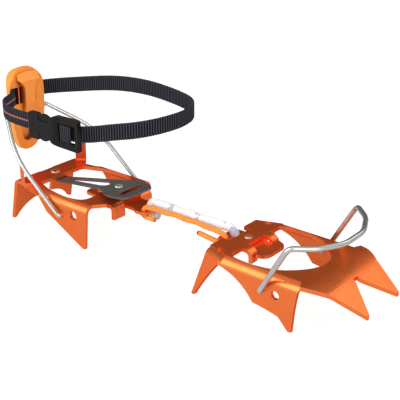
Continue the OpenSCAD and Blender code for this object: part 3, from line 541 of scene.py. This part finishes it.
def strap_short_side():
    """From the lever to the inserting half of the buckle."""
    route = flow([
        (PASS_X, SLOT_Y - 1, STRAP_Z),
        (LEVER_FACE - 2, SLOT_Y - 2.5, STRAP_Z),
        (LEVER_FACE + 3, SLOT_Y - 7, STRAP_Z),
        (LEVER_FACE + 8, SLOT_Y - 16, STRAP_Z),
        (LEVER_FACE + 14, BUCKLE_Y + 12, STRAP_Z),
        (LEVER_FACE + 25, BUCKLE_Y + 5, BUCKLE_Z),
        (LEVER_FACE + 39, STUB_Y + 0.4, BUCKLE_Z),
        (MALE_REAR - 9, STUB_Y, BUCKLE_Z),
        (MALE_REAR, STUB_Y, BUCKLE_Z),
        (MALE_REAR + 6, STUB_Y, BUCKLE_Z),
    ])
    stub = make_webbing("strap_short_side", route, webbing("webbing_tracer", True))
    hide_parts("strap_stub")
    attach(stub, "lever")


def bar_tack():
    zigzag = [(TACK_X + (TACK_HALF if k % 2 else -TACK_HALF), TACK_Y,
               BUCKLE_Z + TACK_H * (k / TACK_PASSES - 0.5)) for k in range(TACK_PASSES + 1)]
    line, _ = resample(np.array(zigzag, float), THREAD_STEP)
    flat = np.cross(tangents(line), LEFT)
    flat /= lengths(flat)[:, None]
    ring = circles(THREAD_SIDES, flat, LEFT)
    stitch = skin("bar_tack", line[:, None] + THREAD_R * ring, thread())
    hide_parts("stub_stitch")
    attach(stitch, "lever")


def strand(y, diameter, rear_tail, front_tail, rise, bow, wave):
    """Link cord: hooked round the web of the bar and of the bracket, a little slack between them."""
    r = CORD_IN + diameter / 2
    arc = np.linspace(0, math.pi, HOOK_STEPS)
    rear = [[REAR_WEB - r * math.sin(a), y, CORD_Z - r * math.cos(a)] for a in arc]
    front = [[FRONT_WEB + r * math.sin(a), y, CORD_Z + r * math.cos(a)] for a in arc]
    slack = [[REAR_WEB + u * (FRONT_WEB - REAR_WEB),
              y + bow * math.sin(math.pi * u) ** BOW_FULLNESS,
              CORD_Z + r + wave * math.sin(math.pi * u) * math.sin(WAVES * math.pi * u + y)]
             for u in np.linspace(0, 1, SLACK_STEPS)[1:-1]]
    start = [[REAR_WEB + rear_tail, y, CORD_Z - r]]
    end = [[FRONT_WEB - front_tail, y, CORD_Z - r + rise]]
    return np.array(start + rear + slack + front + end)


def link_cords():
    route = strand(y=3, diameter=WHITE_D, rear_tail=2, front_tail=2, rise=0, bow=-1.0, wave=0.45)
    finish = cord("cord_white", rgb(240, 238, 242), rgb(158, 166, 196))
    white = make_cord("link_cord_white", route, WHITE_D, WHITE_CARRIERS, finish, [1, 2, 3])
    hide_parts("white_strand")
    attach(white, "link_cord")

    route = strand(y=-6.5, diameter=ORANGE_D, rear_tail=7, front_tail=20.4, rise=2, bow=2.4, wave=0.5)
    finish = cord("cord_orange", rgb(244, 142, 44), rgb(250, 170, 84))
    orange = make_cord("link_cord_orange", route, ORANGE_D, ORANGE_CARRIERS, finish, [2])
    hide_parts("orange_strand")
    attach(orange, "link_cord")


def toe_bail(material):
    half = [(TOE_X, TOE_IN, TOE_Z),
            (TOE_X, TOE_LEG, TOE_Z),
            (TOE_TOP_X, TOE_LEG, TOE_TOP_Z),
            (TOE_SHOULDER_X, TOE_SHOULDER_Y, TOE_TOP_Z - 1),
            (TOE_TOP_X + TOE_BOW, TOE_NOSE_HALF, TOE_TOP_Z - 1.5)]
    points = half + [(x, -y, z) for x, y, z in reversed(half)]
    path = rounded(points, TOE_BENDS + TOE_BENDS[::-1])
    toe_wire = make_wire("toe_bail_wire", path, TOE_D, material)
    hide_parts("toe_bail")
    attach(toe_wire, "toe_bail")


def on_heel_bail(t, y):
    """A point at a share of the way from the heel pivot to the lever pin."""
    return (HEEL_X + t * (PIN_X - HEEL_X), y, HEEL_Z + t * (PIN_Z - HEEL_Z))


def heel_bail(material):
    points = [on_heel_bail(0, HEEL_IN), on_heel_bail(0, HEEL_LEFT), on_heel_bail(LEG_BEND, HEEL_LEFT),
              on_heel_bail(1, BAR_HALF), on_heel_bail(1, -BAR_HALF),
              on_heel_bail(LEG_BEND, HEEL_RIGHT), on_heel_bail(0, HEEL_RIGHT), on_heel_bail(0, -HEEL_IN)]
    heel_wire = make_wire("heel_bail_wire", rounded(points, HEEL_BENDS), HEEL_D, material)
    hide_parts("heel_bail")
    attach(heel_wire, "heel_bail")


def finish_solids():
    """Finishes of the solids that show as they are."""
    finishes = {
        anodised(): ["heel_plate", "front_plate", "link_bar", "link_bracket"],
        spring_steel(): ["lock_plate"],
        rivet_metal("stud_steel", rgb(176, 168, 162), rgb(214, 208, 202)): ["lock_stud"],
        rivet_metal("rivet_copper", rgb(204, 140, 112), rgb(226, 172, 146)): ["lock_rivet", "stop_rivet"],
        lever_plastic(): ["heel_lever"],
        buckle_plastic(): ["buckle_female", "buckle_male"],
        sealed_end(): ["cord_tip"],
    }
    for material, names in finishes.items():
        for name in names:
            nodes[name].data.materials.clear()
            nodes[name].data.materials.append(material)


def lay_floor(half=8):
    mesh = bpy.data.meshes.new("floor")
    corners = [(-half, -half, 0), (half, -half, 0), (half, half, 0), (-half, half, 0)]
    mesh.from_pydata(corners, [], [(0, 1, 2, 3)])
    mesh.materials.append(floor_white())
    add_object(mesh)


def make_room(light=0.7, dark=0.19):
    """Pale room that is darker low behind the object, and white to the camera."""
    world = bpy.data.worlds.new("studio")
    world.use_nodes = True
    scene.world = world
    room = Graph(world.node_tree)
    way = room.add("ShaderNodeTexCoord").outputs["Generated"]
    height = room.add("ShaderNodeSeparateXYZ", Vector=way).outputs["Z"]
    behind = room.span(room.dot(way, BEHIND), -0.1, 0.6)
    shade = room.math("MULTIPLY", behind, room.span(height, 0.5, 0.9, 1.0, 0.0))
    level = room.span(shade, 0.0, 1.0, light, dark)
    ray = room.add("ShaderNodeLightPath")
    seen = room.math("MAXIMUM", ray.outputs["Is Camera Ray"], ray.outputs["Is Transmission Ray"])
    strength = room.add("ShaderNodeMix", {"data_type": "FLOAT"}, Factor=seen, A=level, B=1.0)
    background = world.node_tree.nodes["Background"]
    room.plug(background.inputs["Color"], WHITE)
    room.plug(background.inputs["Strength"], strength.outputs[0])


def aim(obj, place, way):
    """Put a lamp or camera at a place, looking along a way."""
    obj.location = place
    obj.rotation_mode = "QUATERNION"
    obj.rotation_quaternion = way.to_track_quat("-Z", "Y")
    scene.collection.objects.link(obj)


def lamp(name, place, size, power, target=(0, 0, 0.05)):
    """Soft square lamp: metres and watts."""
    data = bpy.data.lights.new(name, "AREA")
    data.size = size
    data.energy = power
    aim(bpy.data.objects.new(name, data), place, Vector(target) - Vector(place))


def photo_camera(azimuth=39.14, elevation=23.41, distance=0.6763, target=(0.02091, 0, 0.05372)):
    """Camera at the angle of the photograph: degrees and metres."""
    data = bpy.data.cameras.new("camera")
    data.sensor_width = 36
    data.lens = 81.91
    data.clip_start = 0.05
    data.clip_end = 30
    az = math.radians(azimuth)
    el = math.radians(elevation)
    back = Vector((math.sin(az) * math.cos(el), -math.cos(az) * math.cos(el), math.sin(el)))
    eye = bpy.data.objects.new("camera", data)
    aim(eye, Vector(target) + back * distance, -back)
    scene.camera = eye


ankle_strap()
strap_short_side()
bar_tack()
link_cords()
bail_steel = bright_wire()
toe_bail(bail_steel)
heel_bail(bail_steel)
finish_solids()

lay_floor()
make_room()
lamp("rear_left", (0.55, 1.1, 1.0), 0.9, 3.2)
lamp("front_left", (-0.8, -1.4, 1.0), 1.6, 22)
lamp("front_right", (1.3, -0.8, 0.9), 1.2, 11)
photo_camera()
scene.view_settings.view_transform = "Standard"
